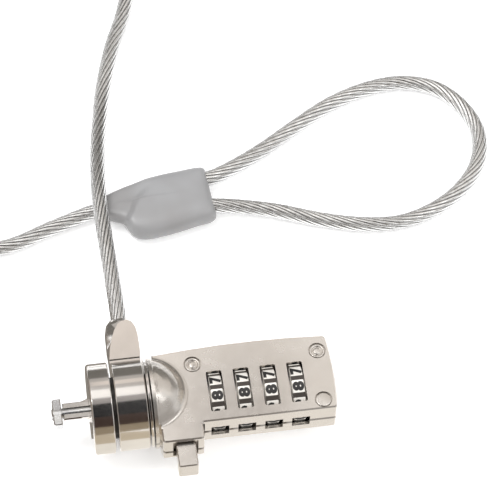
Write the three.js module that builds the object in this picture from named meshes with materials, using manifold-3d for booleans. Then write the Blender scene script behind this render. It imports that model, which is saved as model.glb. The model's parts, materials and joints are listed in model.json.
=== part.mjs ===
// Laptop security lock: T-bar tip, four number wheels, side release button and a looped wire-rope cable.
// Millimetres, +Z up. All is laid out in the lock's own frame and moved to the part's origin at the end:
// x = 0 at the front ring's end face, +X towards the wheels; y = 0, z = 0 on the axis the T-bar turns about.
import * as THREE from "three";
import { mergeVertices } from "three/addons/utils/BufferGeometryUtils.js";
import Module from "manifold-3d";

const wasm = await Module();
wasm.setup();

// ---- driving dimensions, mm -------------------------------------------------------------------------
const GAP = 0.3; // air kept between neighbouring pieces
const RING_R = 10.58; // front ring, and the height of the lock axis above the table
const CABLE_RING_R = 10.35;
const FRONT_RING = [0, 5.0];
const CABLE_RING = [5.8, 12.9];
const SPACER_RING = [13.15, 13.8];
const SLEEVE_R = 7.0; // swivel sleeve the rings sit on
const SLEEVE = [2.3, 16.8];
const SLEEVE_FLANGE = { x: [15.6, 16.8], r: 8.4 };

const TIP = { front: -8.7, barFront: -8.4, barBack: -6.4, halfLength: 3.35, halfThick: 1.25, bossR: 1.42 };
const SPINDLE_R = 1.25;
const SPINDLE_END = 22.9;
const PRONG = { front: -6.1, outerY: 2.15, halfThick: 1.15, boreR: 1.42, rootR: 2.7, rootX: [0.4, 1.9] };
// Foot of the prongs, spreading to the ring's face.
const PRONG_FLARE = { from: -2.0, to: -0.3, halfY: 2.7, neckY: 2.4, halfZ: 1.05 };
const BUTTON_TRAVEL = 3.0; // pressing it this far turns the T-bar a quarter turn
const PINION = { x: [19.2, 21.8], teeth: 8, pitchR: BUTTON_TRAVEL / (Math.PI / 2), tall: 0.4, tooth: 0.55 };

const FACE_Z = 5.2; // flat top of the housing above the lock axis
const BODY = { left: 15.4, right: 56.4, backMid: 10.75, backLeft: 9.7, ledge: -8.75 };
const BLOCK = { right: 24.9, front: -12.85, corner: 0.8 };
const PARTING = 0.15; // half of the gap between the two housing halves
const EDGE = 0.3; // broken edge of the castings
const WAIST_Z = -3.9; // where the lower half starts to narrow
const FOOT = { left: 18, right: 50.5, front: -3.0, back: 5.0 };
const DOME = { x: 13.0, r: 10.3, cove: 1.55 };
const COLLAR = { x: [14.1, 14.9], r: 10.45 };

const WHEEL = { y: -1.26, first: 29.0, pitch: 6.2, count: 4, r: 6.65, rimHalf: 1.4 };
const HUB = { half: 2.3, r: 4.0, bore: 3.5 };
const DIGITS = 10;
const SEPARATOR = { depth: 0.45, width: 1.1 };
const SEPARATOR_PHASE = -38.5; // first groove's angle from straight up, towards the front
const CODE_SLEEVE = { outer: 3.2, inner: 2.3, half: 2.1, keyWidth: 0.9, keyDepth: 0.5 };
const SHAFT = { r: 2.0, x: [25.6, 51.2] };
const SLOT = { width: 3.62, y: [-6.42, 3.95], corner: 0.45 };
const WINDOW = { width: 4.1, z: 1.87 };
const WHEEL_ROOM = { x: [26.2, 50.6], ceiling: 4.3 };
const CLICK_ROOM = { x: [26.6, 50.2], y: [5.5, 8.3], z: [-2.6, 2.6] };
const CLICK_SPRING = { x: [27.0, 49.9], y: [7.7, 8.0], z: [-2.2, 2.2], fingerHalf: 0.9, tipY: 5.75 };
const SHAFT_SPRING = { r: 1.5, wire: 0.4, turns: 4, length: 2.6, roomEnd: 54.9 };

const BUTTON = { x: [18.3, 22.75], z: [-1.55, 3.55], front: -18.6, back: -8.9 };
const BUTTON_FLANGE = { x: [17.2, 23.6], z: [-2.3, 4.0], y: [-11.2, -9.6] };
const BUTTON_HOLE = { x: [17.65, 23.4], z: [-2.05, 4.4] };
const BUTTON_ROOM = { x: [16.7, 25.4], y: [-11.6, 6.6], z: [-3.0, 4.1] };
const RACK = { y: [-9.4, 3.3], top: 3.6 };
const BUTTON_SPRING = { r: 0.8, wire: 0.3, y: [-11.6, -5.4], z: 0.2, turns: 8, pocketR: 1.2 };
const LOCK_SLIDE = { x: [24.0, 25.0], y: [-8.6, -3.0], z: [-1.7, 1.7], notch: { deep: 1.2, half: 0.6 } };

const RIVETS = [
  [24.46, 6.22],
  [53.36, 6.17],
  [52.95, -6.5],
];
const RIVET = { headR: 1.81, headZ: [4.55, 5.12], shankR: 1.2, bottom: -3.0, dimpleR: 0.95, dimple: 0.15 };

const TAB = { faceZ: 3.9, shoulderZ: 2.6, end: 22.9, boreR: 2.0, stopR: 2.9, stopTo: 17.0 };
const TAB_GROOVE = { y: [10.15, 10.55], depth: 0.4 };
// Tab's plan, [x, y], anticlockwise: its flat faces, the foot of their sloped shoulders, and its middle.
const TAB_FACE = [
  [5.85, 7.6], [12.85, 7.6], [12.85, 10.7], [13.05, 11.4], [13.1, 13.9], [13.05, 16.5], [12.75, 18.5],
  [12.0, 20.0], [10.9, 20.55], [9.9, 20.4], [8.8, 19.65], [7.8, 18.1], [7.0, 16.0], [6.3, 13.5], [5.85, 10.7],
];
const TAB_SHOULDER = [
  [5.85, 7.6], [12.85, 7.6], [12.85, 10.7], [13.05, 11.4], [13.1, 13.9], [13.1, 16.6], [12.85, 18.9],
  [12.2, 20.5], [11.1, 21.5], [9.6, 21.9], [7.6, 21.5], [6.5, 20.4], [5.95, 18.0], [5.7, 14.0], [5.85, 10.8],
];
const TAB_MIDDLE = [
  [5.85, 7.6], [12.85, 7.6], [12.85, 10.7], [13.05, 11.4], [13.1, 13.9], [13.1, 16.8], [12.95, 19.2],
  [12.4, 21.2], [11.4, 22.9], [9.6, 22.9], [7.3, 22.9], [6.2, 21.5], [5.65, 19.0], [5.5, 14.0], [5.85, 10.9],
];

// Facets round each kind of turned piece.
const ROUND = { ring: 64, dome: 64, sleeve: 36, wheel: 40, small: 20, pin: 14 };

const CABLE_D = 3.7;
const CABLE_SIDES = 8;
const TABLE_Z = -RING_R;
const COIL = { x: -51, y: 104, midR: 22.2, half: 6.2, tall: 14.8, bottom: 1.2, edge: 1.2 };
const TIE = { half: 2.5, skin: 0.8 };
const FERRULE = { tall: 6.6, neckTall: 5.6, low: 0.05 };

// Origin: middle of the bare lock's outline, on the table.
const ORIGIN = [(TIP.front + BODY.right) / 2, (BUTTON.front + TAB.end) / 2, TABLE_Z];

// ---- materials --------------------------------------------------------------------------------------
const metal = (hex, roughness) => new THREE.MeshStandardMaterial({ color: hex, metalness: 1, roughness });
const satinNickel = () => metal(0xc9c1b7, 0.42);
const polishedNickel = () => metal(0xd6d2cd, 0.14);
const steel = () => metal(0xb9bbbd, 0.3);
const brass = () => metal(0xb8965a, 0.4);
const zinc = () => metal(0xa9a8a6, 0.5);
const wheelPlate = () => metal(0xcfcbc5, 0.35);
const ferruleGrey = () => new THREE.MeshStandardMaterial({ color: 0xa5a5a8, roughness: 0.6 });
const ropeGrey = () => new THREE.MeshStandardMaterial({ color: 0xb4b5b3, metalness: 0.6, roughness: 0.4 });
const tieBlack = () => new THREE.MeshStandardMaterial({ color: 0x1c1c1e, roughness: 0.7 });

// ---- shape helpers ----------------------------------------------------------------------------------
function signedVolume(position, index) {
  let sum = 0;
  const p = [new THREE.Vector3(), new THREE.Vector3(), new THREE.Vector3()];
  for (let i = 0; i < index.length; i += 3) {
    for (let k = 0; k < 3; k++) p[k].fromBufferAttribute(position, index[i + k]);
    sum += p[0].dot(p[1].cross(p[2]));
  }
  return sum;
}

function solid(geometry) {
  geometry.deleteAttribute("normal");
  geometry.deleteAttribute("uv");
  const merged = mergeVertices(geometry, 1e-4);
  const index = Array.from(merged.index.array);
  if (signedVolume(merged.attributes.position, index) < 0) index.reverse();
  const mesh = new wasm.Mesh({
    numProp: 3,
    vertProperties: Float32Array.from(merged.attributes.position.array),
    triVerts: Uint32Array.from(index),
  });
  return new wasm.Manifold(mesh);
}

function box([x0, x1], [y0, y1], [z0, z1]) {
  const g = new THREE.BoxGeometry(x1 - x0, y1 - y0, z1 - z0);
  return solid(g.translate((x0 + x1) / 2, (y0 + y1) / 2, (z0 + z1) / 2));
}

function roundBar([x0, x1], r, y = 0, z = 0, sides = ROUND.small) {
  const g = new THREE.CylinderGeometry(r, r, x1 - x0, sides).rotateZ(-Math.PI / 2);
  return solid(g.translate((x0 + x1) / 2, y, z));
}

function upright(r, [z0, z1], x, y, sides = ROUND.small) {
  const g = new THREE.CylinderGeometry(r, r, z1 - z0, sides).rotateX(Math.PI / 2);
  return solid(g.translate(x, y, (z0 + z1) / 2));
}

function barAlongY(r, [y0, y1], x, z, sides = ROUND.small) {
  return solid(new THREE.CylinderGeometry(r, r, y1 - y0, sides).translate(x, (y0 + y1) / 2, z));
}

// Turned shape about the x axis through (y, z); profile is a closed list of [x, radius].
function turned(profile, y = 0, z = 0, sides = ROUND.sleeve) {
  const points = [...profile, profile[0]].map(([x, r]) => new THREE.Vector2(r, x));
  return solid(new THREE.LatheGeometry(points, sides).rotateZ(-Math.PI / 2).translate(0, y, z));
}

function extruded(shape, from, to, bevel = 0, steps = 1) {
  const g = new THREE.ExtrudeGeometry(shape, {
    depth: to - from - 2 * bevel,
    bevelEnabled: bevel > 0,
    bevelSize: bevel,
    bevelThickness: bevel,
    bevelOffset: -bevel,
    bevelSegments: steps,
    curveSegments: 5,
  });
  return g.translate(0, 0, from + bevel);
}

const polygon = (points) => new THREE.Shape(points.map(([a, b]) => new THREE.Vector2(a, b)));

// Section drawn in (y, z), swept from x0 to x1.
function alongX(points, [x0, x1]) {
  return solid(extruded(polygon(points), x0, x1).rotateZ(Math.PI / 2).rotateY(Math.PI / 2));
}

// Side view drawn in (x, z), swept from y0 to y1.
function alongY(points, [y0, y1]) {
  return solid(extruded(polygon(points), -y1, -y0).rotateX(Math.PI / 2));
}

// Closed skin through flat outlines [x, y] of equal length, one above the other.
function lofted(sections) {
  const count = sections[0].outline.length;
  const position = sections.flatMap(({ outline, z }) => outline.flatMap(([x, y]) => [x, y, z]));
  const index = [];
  for (let row = 0; row + 1 < sections.length; row++) {
    for (let k = 0; k < count; k++) {
      const a = row * count + k;
      const b = row * count + ((k + 1) % count);
      index.push(a, b, a + count, b, b + count, a + count);
    }
  }
  const flat = (outline) => outline.map(([x, y]) => new THREE.Vector2(x, y));
  const last = (sections.length - 1) * count;
  const under = THREE.ShapeUtils.triangulateShape(flat(sections[0].outline), []);
  const over = THREE.ShapeUtils.triangulateShape(flat(sections.at(-1).outline), []);
  for (const [a, b, c] of under) index.push(a, c, b);
  for (const [a, b, c] of over) index.push(last + a, last + b, last + c);
  const g = new THREE.BufferGeometry();
  g.setAttribute("position", new THREE.Float32BufferAttribute(position, 3));
  g.setIndex(index);
  return solid(g);
}

const join = (first, ...rest) => rest.reduce((a, b) => a.add(b), first);
const cut = (first, ...rest) => rest.reduce((a, b) => a.subtract(b), first);

const group = new THREE.Group();
function node(name, shape, material) {
  const mesh = shape.getMesh();
  const g = new THREE.BufferGeometry();
  g.setAttribute("position", new THREE.BufferAttribute(Float32Array.from(mesh.vertProperties), 3));
  g.setIndex(Array.from(mesh.triVerts));
  g.translate(-ORIGIN[0], -ORIGIN[1], -ORIGIN[2]);
  g.computeVertexNormals();
  const m = new THREE.Mesh(g, material);
  m.name = name;
  group.add(m);
}

// ---- housing ----------------------------------------------------------------------------------------
// Plan outline: block at the front left, ledge along the wheels, bowed right end and bowed back.
function planOutline(grow = 0) {
  const s = new THREE.Shape();
  const { left, right, backMid, backLeft, ledge } = BODY;
  const c = BLOCK.corner;
  s.moveTo(left - grow, backLeft + grow);
  s.lineTo(left - grow, BLOCK.front + c);
  s.quadraticCurveTo(left - grow, BLOCK.front - grow, left + c, BLOCK.front - grow);
  s.lineTo(BLOCK.right - c, BLOCK.front - grow);
  s.quadraticCurveTo(BLOCK.right + grow, BLOCK.front - grow, BLOCK.right + grow, BLOCK.front + c);
  s.lineTo(BLOCK.right + grow, ledge - c / 2);
  s.quadraticCurveTo(BLOCK.right + grow, ledge - grow, BLOCK.right + c / 2, ledge - grow);
  s.lineTo(right - 1.2, ledge - grow);
  s.quadraticCurveTo(right - 0.55 + grow, ledge - grow, right - 0.5 + grow, ledge + 0.8);
  s.quadraticCurveTo(right + 0.45 + grow, 0, right - 0.5 + grow, 9.0);
  s.quadraticCurveTo(right - 0.6 + grow, 10.0 + grow, right - 1.6, 10.1 + grow);
  s.quadraticCurveTo((left + right) / 2, 2 * backMid - (backLeft + 10.1) / 2 + grow, left, backLeft + grow);
  return s;
}

function domeTop() {
  const { x, r, cove } = DOME;
  const ball = [];
  const foot = Math.sqrt((r + cove) ** 2 - (FACE_Z + cove) ** 2);
  const meet = Math.atan2(FACE_Z + cove, foot);
  for (let i = 0; i <= 7; i++) {
    const a = Math.PI / 2 - ((Math.PI / 2 - meet) * i) / 7;
    ball.push(new THREE.Vector2(i === 0 ? 0 : r * Math.cos(a), r * Math.sin(a)));
  }
  for (let i = 1; i <= 3; i++) {
    const a = meet + Math.PI + ((Math.PI / 2 - meet) * i) / 3;
    ball.push(new THREE.Vector2(foot + cove * Math.cos(a), FACE_Z + cove + cove * Math.sin(a)));
  }
  const sink = FACE_Z - 0.6;
  ball.push(new THREE.Vector2(foot, sink), new THREE.Vector2(0, sink));
  const cap = solid(new THREE.LatheGeometry(ball, ROUND.dome).rotateX(Math.PI / 2).translate(x, 0, 0));
  return cap.intersect(box([BODY.left, 40], [-11, 11], [0, 20]));
}

function barrelEnd() {
  const ball = [];
  for (let i = 0; i <= 16; i++) {
    const a = (Math.PI * i) / 16;
    ball.push(new THREE.Vector2(i % 16 === 0 ? 0 : DOME.r * Math.sin(a), -DOME.r * Math.cos(a)));
  }
  const sphere = new THREE.LatheGeometry(ball, ROUND.dome).rotateX(Math.PI / 2).translate(DOME.x, 0, 0);
  const clipped = solid(sphere).intersect(box([COLLAR.x[0], 40], [-12, 12], [-12, 12]));
  return join(clipped, roundBar(COLLAR.x, COLLAR.r, 0, 0, ROUND.ring));
}

const wheelX = (i) => WHEEL.first + WHEEL.pitch * i;

// Round room that the wheels turn in, flat under the housing's top.
function wheelRoom() {
  const { x, ceiling } = WHEEL_ROOM;
  return roundBar(x, WHEEL.r + GAP, WHEEL.y, 0, ROUND.sleeve).intersect(box(x, [-10, 10], [-10, ceiling]));
}

// Everything hollowed out of both halves.
function hollows() {
  const holes = [
    wheelRoom(),
    box(CLICK_ROOM.x, CLICK_ROOM.y, CLICK_ROOM.z),
    roundBar([SHAFT.x[0] - GAP, SHAFT.x[1] + GAP], SHAFT.r + GAP, WHEEL.y),
    roundBar([SHAFT.x[1], SHAFT_SPRING.roomEnd], SHAFT.r + GAP, WHEEL.y),
    box(BUTTON_ROOM.x, BUTTON_ROOM.y, BUTTON_ROOM.z),
    box(BUTTON_HOLE.x, [-14, BUTTON_ROOM.y[0] + 0.5], BUTTON_HOLE.z),
    roundBar([10, SLEEVE[1] + GAP], SLEEVE_R + GAP, 0, 0, ROUND.sleeve),
    roundBar([SLEEVE_FLANGE.x[0] - GAP, SLEEVE_FLANGE.x[1] + GAP], SLEEVE_FLANGE.r + GAP, 0, 0, ROUND.sleeve),
  ];
  for (let i = 0; i < WHEEL.count; i++) {
    const half = WINDOW.width / 2;
    holes.push(box([wheelX(i) - half, wheelX(i) + half], [-10, -7.5], [-WINDOW.z, WINDOW.z]));
  }
  return holes;
}

function wheelSlot(i) {
  const s = new THREE.Shape();
  const [y0, y1] = SLOT.y;
  const half = SLOT.width / 2;
  const c = SLOT.corner;
  const x = wheelX(i);
  s.moveTo(x - half + c, y0);
  s.lineTo(x + half - c, y0);
  s.quadraticCurveTo(x + half, y0, x + half, y0 + c);
  s.lineTo(x + half, y1 - c);
  s.quadraticCurveTo(x + half, y1, x + half - c, y1);
  s.lineTo(x - half + c, y1);
  s.quadraticCurveTo(x - half, y1, x - half, y1 - c);
  s.lineTo(x - half, y0 + c);
  s.quadraticCurveTo(x - half, y0, x - half + c, y0);
  return solid(extruded(s, 2, 9));
}

function housingTop() {
  const half = box([10, 60], [-20, 20], [PARTING, 20]);
  const body = solid(extruded(planOutline(), PARTING, FACE_Z, EDGE));
  let shell = join(body, barrelEnd().intersect(half), domeTop());
  shell = cut(shell, ...hollows());
  for (let i = 0; i < WHEEL.count; i++) shell = cut(shell, wheelSlot(i));
  for (const [x, y] of RIVETS) {
    shell = cut(shell, upright(RIVET.headR + 0.22, [RIVET.headZ[0] - 0.2, 6], x, y));
    shell = cut(shell, upright(RIVET.shankR + 0.25, [-1, 6], x, y, ROUND.pin));
  }
  return shell;
}

function housingBottom() {
  const { left, right, backMid, ledge } = BODY;
  const low = TABLE_Z;
  const hull = [
    [ledge, 1], [ledge, WAIST_Z], [FOOT.front, low], [FOOT.back, low], [backMid, WAIST_Z], [backMid, 1],
  ];
  const nose = [[BLOCK.front, 1], [BLOCK.front, -2.6], [-8.6, -8.2], [0, -8.2], [0, 1]];
  const side = [[left, 1], [left, -6.5], [FOOT.left, low], [FOOT.right, low], [right, WAIST_Z], [right, 1]];
  const plan = solid(extruded(planOutline(), low, -PARTING, EDGE));
  const main = alongX(hull, [left, right + 1]).intersect(alongY(side, [-20, 20])).intersect(plan);
  const block = alongX(nose, [left, BLOCK.right]).intersect(plan);
  const barrel = barrelEnd().intersect(box([10, 60], [-20, 20], [-20, -PARTING]));
  let shell = cut(join(main, block, barrel), ...hollows());
  for (const [x, y] of RIVETS) {
    shell = cut(shell, upright(RIVET.shankR + 0.25, [RIVET.bottom - GAP, 1], x, y, ROUND.pin));
  }
  return shell;
}

function rivet([x, y]) {
  const { headR, headZ, shankR, bottom, dimpleR, dimple } = RIVET;
  const head = upright(headR, headZ, x, y);
  const pin = upright(shankR, [bottom, headZ[0] + 0.1], x, y, ROUND.pin);
  return cut(join(head, pin), upright(dimpleR, [headZ[1] - dimple, 6], x, y, ROUND.pin));
}

// ---- rings and swivel sleeve ------------------------------------------------------------------------
function frontRing() {
  const [x0, x1] = FRONT_RING;
  const bore = SLEEVE_R + GAP;
  const hole = PRONG.rootR + GAP;
  const e = 0.5;
  return turned([
    [x0, hole], [x0, RING_R - e], [x0 + e * 0.4, RING_R - e * 0.3], [x0 + e, RING_R], [x1 - 0.2, RING_R],
    [x1, RING_R - 0.2], [x1, bore], [SLEEVE[0] - GAP, bore], [SLEEVE[0] - GAP, hole],
  ], 0, 0, ROUND.ring);
}

function spacerRing() {
  const [x0, x1] = SPACER_RING;
  return turned([[x0, SLEEVE_R + GAP], [x0, 10.2], [x1, 10.2], [x1, SLEEVE_R + GAP]], 0, 0, ROUND.ring);
}

// Tongue that the cable leaves through: flat faces on an arch, with sloped shoulders down to fuller sides.
function cableTab() {
  const { faceZ, shoulderZ } = TAB;
  const tongue = lofted([
    { z: -faceZ, outline: TAB_FACE },
    { z: -shoulderZ, outline: TAB_SHOULDER },
    { z: 0, outline: TAB_MIDDLE },
    { z: shoulderZ, outline: TAB_SHOULDER },
    { z: faceZ, outline: TAB_FACE },
  ]);
  const floor = faceZ - TAB_GROOVE.depth;
  return cut(tongue, box([0, 20], TAB_GROOVE.y, [floor, 10]), box([0, 20], TAB_GROOVE.y, [-10, -floor]));
}

function cableRing() {
  const [x0, x1] = CABLE_RING;
  const bore = SLEEVE_R + GAP;
  const e = 0.25;
  const hoop = turned([
    [x0, bore], [x0, CABLE_RING_R - e], [x0 + e, CABLE_RING_R],
    [x1 - e, CABLE_RING_R], [x1, CABLE_RING_R - e], [x1, bore],
  ], 0, 0, ROUND.ring);
  const middle = (x0 + x1) / 2;
  const bored = cut(
    join(hoop, cableTab()),
    barAlongY(TAB.stopR, [0, TAB.stopTo], middle, 0),
    barAlongY(TAB.boreR, [10, 30], middle, 0),
    roundBar([x0 - 1, x1 + 1], bore, 0, 0, ROUND.sleeve),
  );
  return bored;
}

function cableStop() {
  const middle = (CABLE_RING[0] + CABLE_RING[1]) / 2;
  return barAlongY(TAB.stopR - GAP, [11.5, TAB.stopTo - GAP], middle, 0);
}

function swivelSleeve() {
  const [x0, x1] = SLEEVE;
  const body = roundBar([x0, x1], SLEEVE_R, 0, 0, ROUND.sleeve);
  const flange = roundBar(SLEEVE_FLANGE.x, SLEEVE_FLANGE.r, 0, 0, ROUND.sleeve);
  return cut(join(body, flange), roundBar([x0 - 1, x1 + 1], SPINDLE_R + 0.2));
}

// ---- T-bar, prongs and their drive ------------------------------------------------------------------
function prongs() {
  const { front, outerY, halfThick, boreR, rootR, rootX } = PRONG;
  const { from, to, halfY, neckY, halfZ } = PRONG_FLARE;
  const blades = solid(extruded(polygon([
    [front, -outerY], [rootX[0], -outerY], [rootX[0], outerY], [front, outerY],
  ]), -halfThick, halfThick, 0.25));
  const inside = rootX[0] + 0.1;
  const flare = [[from, outerY - 0.1], [-1.1, 2.35], [-0.6, 2.55], [to, halfY], [to, neckY], [inside, neckY]];
  const mirrored = flare.map(([x, y]) => [x, -y]).reverse();
  const foot = solid(extruded(polygon([...flare, ...mirrored]), -halfZ, halfZ));
  return cut(join(blades, foot, roundBar(rootX, rootR)), roundBar([front - 1, rootX[1] + 1], boreR));
}

function pinion() {
  const { x, teeth, pitchR, tall, tooth } = PINION;
  let gear = roundBar(x, pitchR - tall - 0.05);
  for (let i = 0; i < teeth; i++) {
    const blade = alongX([
      [-tooth * 0.75, 0.6], [tooth * 0.75, 0.6], [tooth / 2, pitchR], [tooth * 0.3, pitchR + tall - 0.1],
      [-tooth * 0.3, pitchR + tall - 0.1], [-tooth / 2, pitchR],
    ], x);
    gear = gear.add(blade.rotate([(360 / teeth) * i, 0, 0]));
  }
  return gear;
}

function tbarSpindle() {
  const { front, barFront, barBack, halfLength, halfThick, bossR } = TIP;
  const bar = new THREE.Shape();
  const e = 0.35;
  bar.moveTo(barFront, -halfLength + e);
  bar.lineTo(barFront + e, -halfLength);
  bar.lineTo(barBack, -halfLength);
  bar.lineTo(barBack, halfLength);
  bar.lineTo(barFront + e, halfLength);
  bar.lineTo(barFront, halfLength - e);
  bar.closePath();
  const head = solid(extruded(bar, -halfThick, halfThick, 0.2));
  const rim = bossR - 0.3;
  const bossProfile = [[front, 0], [front, rim], [front + 0.3, bossR], [barBack, bossR], [barBack, 0]];
  const boss = turned(bossProfile, 0, 0, ROUND.small);
  const rod = roundBar([barBack - 0.1, SPINDLE_END], SPINDLE_R);
  return join(head, boss, rod, pinion());
}

function releaseButton() {
  const { x, z, front, back } = BUTTON;
  const pad = new THREE.Shape();
  const c = 0.5;
  pad.moveTo(x[0] + c, front);
  pad.lineTo(x[1] - c, front);
  pad.quadraticCurveTo(x[1], front, x[1], front + c);
  pad.lineTo(x[1], back);
  pad.lineTo(x[0], back);
  pad.lineTo(x[0], front + c);
  pad.quadraticCurveTo(x[0], front, x[0] + c, front);
  const key = solid(extruded(pad, z[0], z[1], 0.25));
  const stop = box(BUTTON_FLANGE.x, BUTTON_FLANGE.y, BUTTON_FLANGE.z);
  const rack = box(PINION.x, RACK.y, [PINION.pitchR + PINION.tall + 0.1, RACK.top]);
  const pocket = barAlongY(BUTTON_SPRING.pocketR, [-15.1, -5], (x[0] + x[1]) / 2, BUTTON_SPRING.z);
  return cut(join(key, stop, rack, ...rackTeeth()), pocket);
}

function rackTeeth() {
  const { x, pitchR, tall, tooth, teeth } = PINION;
  const pitch = (2 * Math.PI * pitchR) / teeth;
  const list = [];
  for (let i = -3; i < 2; i++) {
    const y = pitch * (i + 0.5);
    const top = pitchR + tall + 0.15;
    list.push(alongX([
      [y - tooth * 0.7, top], [y - tooth / 2, pitchR], [y - tooth * 0.3, pitchR - tall + 0.15],
      [y + tooth * 0.3, pitchR - tall + 0.15], [y + tooth / 2, pitchR], [y + tooth * 0.7, top],
    ], x));
  }
  return list;
}

class Helix extends THREE.Curve {
  constructor(r, turns, length) {
    super();
    Object.assign(this, { r, turns, length });
  }
  getPoint(t, target = new THREE.Vector3()) {
    const a = 2 * Math.PI * this.turns * t;
    return target.set(this.r * Math.cos(a), this.length * t, this.r * Math.sin(a));
  }
}

function coilSpring(r, wire, turns, length) {
  const ring = [];
  for (let k = 0; k < 5; k++) {
    const a = (Math.PI * 2 * k) / 5;
    ring.push([(wire / 2) * Math.cos(a), (wire / 2) * Math.sin(a)]);
  }
  const path = new Helix(r, turns, length);
  const steps = turns * 8;
  return new THREE.ExtrudeGeometry(polygon(ring), { steps, bevelEnabled: false, extrudePath: path });
}

function buttonSpring() {
  const { r, wire, turns, y, z } = BUTTON_SPRING;
  const g = coilSpring(r, wire, turns, y[1] - y[0]);
  return solid(g.translate((BUTTON.x[0] + BUTTON.x[1]) / 2, y[0], z));
}

function shaftSpring() {
  const { r, wire, turns, length } = SHAFT_SPRING;
  const g = coilSpring(r, wire, turns, length).rotateZ(-Math.PI / 2);
  return solid(g.translate(SHAFT.x[1] + 0.5, WHEEL.y, 0));
}

// ---- number wheels ----------------------------------------------------------------------------------
function numberWheel(i) {
  const x = wheelX(i);
  const { r, rimHalf, y } = WHEEL;
  const { half, bore } = HUB;
  const e = 0.2;
  let wheel = turned([
    [x - half, bore], [x - half, HUB.r], [x - rimHalf, HUB.r], [x - rimHalf, r - e], [x - rimHalf + e, r],
    [x + rimHalf - e, r], [x + rimHalf, r - e], [x + rimHalf, HUB.r], [x + half, HUB.r], [x + half, bore],
  ], 0, 0, ROUND.wheel);
  for (let k = 0; k < DIGITS; k++) {
    const side = SEPARATOR.width / 2;
    const groove = box([x - 3, x + 3], [-side, side], [r - SEPARATOR.depth, r + 1]);
    wheel = cut(wheel, groove.rotate([SEPARATOR_PHASE + (360 / DIGITS) * k, 0, 0]));
  }
  return wheel.translate([0, y, 0]);
}

function codeSleeve(i) {
  const x = wheelX(i);
  const { outer, inner, half, keyWidth, keyDepth } = CODE_SLEEVE;
  const section = [[x - half, inner], [x - half, outer], [x + half, outer], [x + half, inner]];
  const tube = turned(section, 0, 0, ROUND.small);
  const gate = box([x - 3, x + 3], [-keyWidth / 2, keyWidth / 2], [outer - keyDepth, outer + 1]);
  return cut(tube, gate).translate([0, WHEEL.y, 0]);
}

function dialShaft() {
  return roundBar(SHAFT.x, SHAFT.r, WHEEL.y);
}

// Leaf with one bent finger behind each wheel, for the clicks.
function clickSpring() {
  const { x, y, z, fingerHalf, tipY } = CLICK_SPRING;
  const leaf = [box(x, y, z)];
  const bend = [[y[1], -1.4], [y[0], -1.4], [tipY, 0.2], [tipY, 0.6], [tipY + 0.2, 0.6]];
  for (let i = 0; i < WHEEL.count; i++) {
    leaf.push(alongX(bend, [wheelX(i) - fingerHalf, wheelX(i) + fingerHalf]));
  }
  return join(...leaf);
}

// Bar that drops into the code sleeves' gates, with a notch for the button's stop.
function lockSlide() {
  const { x, y, z, notch } = LOCK_SLIDE;
  const gap = box([x[0] - 1, x[1] + 1], [y[1] - notch.deep, y[1] + 1], [-notch.half, notch.half]);
  return cut(box(x, y, z), gap);
}

// ---- cable ------------------------------------------------------------------------------------------
// Centre points [x, y, height above the table], from the tab to the coil.
const LEAD = [
  [9.35, 23.2, 10.58], [9.3, 29, 10.45], [9.1, 36, 10.1], [8.9, 44, 9.5], [8.8, 51, 8.8], [8.8, 58, 8.0],
  [9.3, 66, 6.7], [10.4, 76, 4.5], [11.7, 84, 2.9], [13.2, 92, 2.0], [16.9, 105, 1.85], [21.6, 117, 1.85],
  [23.6, 128, 1.85], [19.5, 139, 1.85], [9, 147, 1.85], [-6, 148, 1.9], [-20, 144, 2.2], [-33.5, 138.8, 2.6],
  [-46.5, 134.2, 3.0],
];
// From the coil to the ferrule's neck.
const TAIL = [
  [-67.0, 78.4, 11.6], [-59.8, 66.8, 7.8], [-50.2, 57.6, 4.2], [-38.5, 52.4, 2.2], [-26, 50.9, 1.85],
  [-14, 51.2, 1.85], [-4, 54.7, 1.85], [2, 56.7, 1.9], [5.5, 57.7, 2.1], [8.6, 58.3, 2.5],
];
// Out of the ferrule, round the loop and back into it.
const LOOP = [
  [36.7, 63.7, 3.2], [42, 66.1, 2.6], [50, 70.7, 1.9], [60, 77, 1.85], [69, 82.2, 1.85], [79, 85.6, 1.85],
  [88, 86.2, 1.85], [96, 83.4, 1.85], [101.5, 77, 1.85], [103.9, 69, 1.85], [102, 60.5, 1.85], [97, 54, 1.85],
  [89.5, 48.9, 1.85], [80.7, 46.2, 1.85], [72, 46.6, 1.85], [62, 49.1, 1.9], [51, 52.8, 2.4], [44, 54.4, 2.8],
  [37.5, 55.4, 3.2],
];

function circleOutline(r, sides) {
  const points = [];
  for (let k = 0; k < sides; k++) {
    const a = (Math.PI * 2 * (k + 0.5)) / sides;
    points.push([r * Math.cos(a), r * Math.sin(a)]);
  }
  return polygon(points);
}

function cable(points) {
  const path = new THREE.CatmullRomCurve3(points.map(([x, y, h]) => new THREE.Vector3(x, y, TABLE_Z + h)));
  const steps = Math.round(path.getLength() / (2.6 * CABLE_D));
  const outline = circleOutline(CABLE_D / 2, CABLE_SIDES);
  return solid(new THREE.ExtrudeGeometry(outline, { steps, bevelEnabled: false, extrudePath: path }));
}

function cableCoil() {
  const { x, y, midR, half, tall, bottom, edge } = COIL;
  const section = [
    [-half, edge], [-half + edge, 0], [half - edge, 0], [half, edge],
    [half, tall - edge], [half - edge, tall], [-half + edge, tall], [-half, tall - edge], [-half, edge],
  ];
  const points = section.map(([a, b]) => new THREE.Vector2(midR + a, b));
  const g = new THREE.LatheGeometry(points, 32).rotateX(Math.PI / 2);
  return solid(g.translate(x, y, TABLE_Z + bottom));
}

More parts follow.
